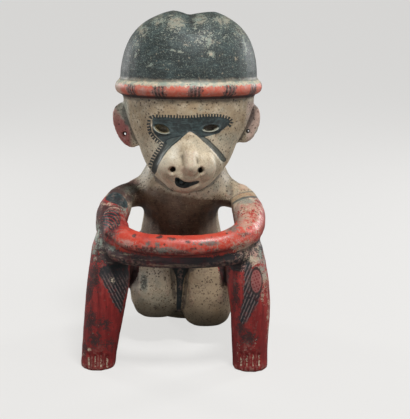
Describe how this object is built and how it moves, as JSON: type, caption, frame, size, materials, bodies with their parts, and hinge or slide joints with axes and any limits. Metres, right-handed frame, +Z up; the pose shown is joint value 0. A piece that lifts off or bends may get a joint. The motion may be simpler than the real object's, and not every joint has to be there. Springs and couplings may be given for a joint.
{
  "type": "seated earthenware figure",
  "caption": "Seated painted clay figure in a domed, brimmed cap, knees drawn up and forearms folded one over the other across the front in an open ring.",
  "frame": {"origin": "on the ground under the middle of the figure's bounding box", "axes": "+Z up from the ground through the cap, -Y the way the face looks, +X to the viewer's right"},
  "size_m": [0.1836, 0.2184, 0.3352],
  "materials": {
    "painted_clay": "fired clay under burnished slip paint, satin, worn: cream skin, dark cap and mask, red limbs"
  },
  "bodies": {
    "root": {"figure": "painted_clay"}
  },
  "joints": []
}
